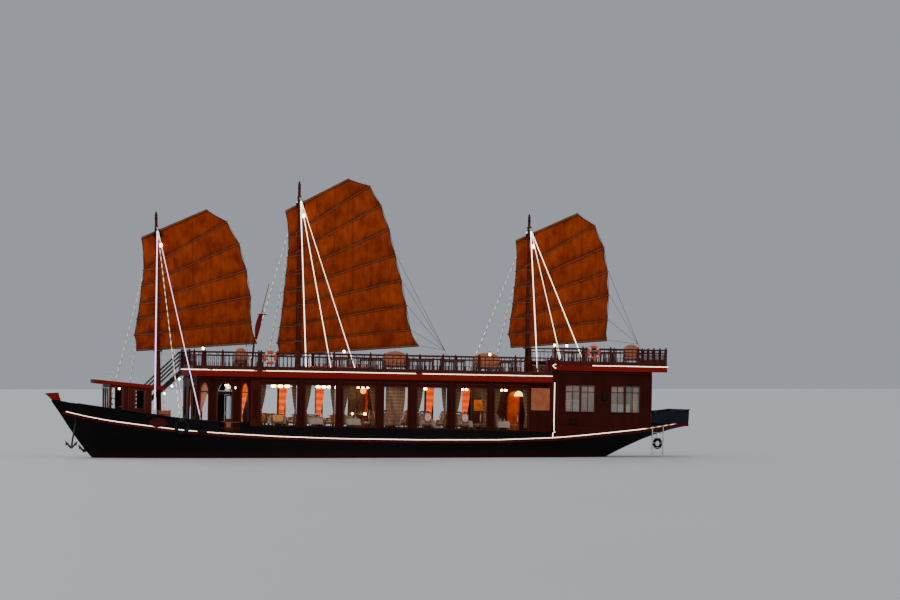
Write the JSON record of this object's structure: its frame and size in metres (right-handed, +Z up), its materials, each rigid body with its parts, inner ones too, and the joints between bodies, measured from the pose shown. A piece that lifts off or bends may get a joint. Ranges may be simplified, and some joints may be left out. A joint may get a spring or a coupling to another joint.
{
  "type": "three-masted wooden junk fitted out as a dinner boat",
  "caption": "Three-masted wooden junk with battened sails, a long windowed saloon, railed upper decks and a raised aft cabin, shown afloat at her waterline.",
  "frame": {"origin": "on the water surface, amidships on the centreline", "axes": "+X towards the bow along the water, +Y to port, +Z up"},
  "size_m": [32.0902, 7.0603, 15.6846],
  "materials": {
    "hull_black": "planks painted near-black, satin",
    "red_paint": "bright red gloss paint",
    "rail_paint": "dark red gloss paint",
    "cabin_wood": "dark red-brown varnish",
    "mast_paint": "maroon paint",
    "teak": "oiled teak",
    "bamboo": "weathered bamboo and pole",
    "sailcloth": "tan-dyed sailcloth, matt",
    "wire": "wire with light strips bound along it",
    "iron": "painted black, worn",
    "bronze": "cast bronze, dull",
    "galvanised": "galvanised",
    "buoy": "red-orange with pale bands",
    "sign_paint": "orange-red lacquer, blank",
    "window_glass": "clear",
    "lamp_glow": "lit warm white",
    "upholstery": "pinkish-red cushions",
    "linen": "white table linen",
    "curtain": "beige woven drape",
    "rope": "laid rope",
    "fender_rubber": "worn black rubber",
    "flag_cloth": "dark red bunting",
    "gilt": "lamp brass and gilding",
    "white_paint": "white gloss"
  },
  "bodies": {
    "ship": {"hull": "hull_black", "fore_bulwark": "hull_black", "coaming_port": "hull_black", "coaming_stbd": "hull_black", "stern_bulwark": "hull_black", "stem_head": "red_paint", "rub_rail_port": "rail_paint", "rub_rail_stbd": "rail_paint", "saloon_wall_port": "cabin_wood", "saloon_wall_stbd": "cabin_wood", "vestibule_wall_port": "cabin_wood", "vestibule_wall_stbd": "cabin_wood", "vestibule_front": "cabin_wood", "bulkhead_fore": "cabin_wood", "bulkhead_middle": "cabin_wood", "aft_cabin_wall_port": "cabin_wood", "aft_cabin_wall_stbd": "cabin_wood", "aft_cabin_back": "cabin_wood", "saloon_floor": "teak", "upper_deck": "red_paint", "aft_roof": "red_paint", "upper_rail_port": "cabin_wood", "upper_rail_stbd": "cabin_wood", "fore_rail_port": "cabin_wood", "fore_rail_stbd": "cabin_wood", "aft_rail": "cabin_wood", "stairs": "iron", "stern_ladder": "galvanised", "wheelhouse_side_port": "teak", "wheelhouse_side_stbd": "teak", "wheelhouse_front": "teak", "wheelhouse_back": "teak", "wheelhouse_roof": "red_paint", "fore_mast": "mast_paint", "fore_stays_port": "wire", "fore_stays_stbd": "wire", "main_mast": "mast_paint", "main_stays_port": "wire", "main_stays_stbd": "wire", "aft_mast": "mast_paint", "aft_stays_port": "wire", "aft_stays_stbd": "wire", "anchor_port": "iron", "anchor_stbd": "iron", "lifebuoy_fore": "buoy", "lifebuoy_aft": "buoy", "flag_staff": "mast_paint", "sign_board": "sign_paint"},
    "fore_rig": {"fore_spars": "bamboo", "fore_sail": "sailcloth"},
    "main_rig": {"main_spars": "bamboo", "main_sail": "sailcloth"},
    "aft_rig": {"aft_spars": "bamboo", "aft_sail": "sailcloth"},
    "rudder": {"rudder": "iron"},
    "propeller": {"propeller": "bronze"},
    "vestibule_door_port": {"vestibule_door_port": "teak"},
    "vestibule_door_stbd": {"vestibule_door_stbd": "teak"},
    "aft_cabin_door": {"aft_cabin_door": "teak"},
    "wheelhouse_door": {"wheelhouse_door": "teak"}
  },
  "joints": [
    {"name": "fore_sail_swing", "type": "hinge", "parent": "ship", "child": "fore_rig", "pos_m": [10.5215, 0, 1.4303], "axis": [0.0149, 0, 0.9999], "range_deg": [-35, 35]},
    {"name": "main_sail_swing", "type": "hinge", "parent": "ship", "child": "main_rig", "pos_m": [3.5309, 0, 4.2586], "axis": [-0.0069, 0, 1], "range_deg": [-35, 35]},
    {"name": "aft_sail_swing", "type": "hinge", "parent": "ship", "child": "aft_rig", "pos_m": [-8.072, 0, 4.0358], "axis": [-0.0174, 0, 0.9998], "range_deg": [-35, 35]},
    {"name": "rudder_turn", "type": "hinge", "parent": "ship", "child": "rudder", "pos_m": [-11.9978, 0, -0.2304], "axis": [-0.0192, 0, 0.9998], "range_deg": [-35, 35]},
    {"name": "propeller_spin", "type": "hinge", "parent": "ship", "child": "propeller", "pos_m": [-11.1826, 0, -1.0149], "axis": [0.9998, 0, 0.0192], "continuous": true},
    {"name": "vestibule_door_port_hinge", "type": "hinge", "parent": "ship", "child": "vestibule_door_port", "pos_m": [7.2722, 2.828, 1.3399], "axis": [-0.0192, 0, 0.9998], "range_deg": [-100, 0]},
    {"name": "vestibule_door_stbd_hinge", "type": "hinge", "parent": "ship", "child": "vestibule_door_stbd", "pos_m": [7.2722, -2.828, 1.3399], "axis": [-0.0192, 0, 0.9998], "range_deg": [0, 100]},
    {"name": "aft_cabin_door_hinge", "type": "hinge", "parent": "ship", "child": "aft_cabin_door", "pos_m": [-13.8998, 0.4, 1.8335], "axis": [-0.0192, 0, 0.9998], "range_deg": [-110, 0]},
    {"name": "wheelhouse_door_hinge", "type": "hinge", "parent": "ship", "child": "wheelhouse_door", "pos_m": [11.081, 1.02, 1.513], "axis": [-0.0192, 0, 0.9998], "range_deg": [-110, 0]}
  ]
}
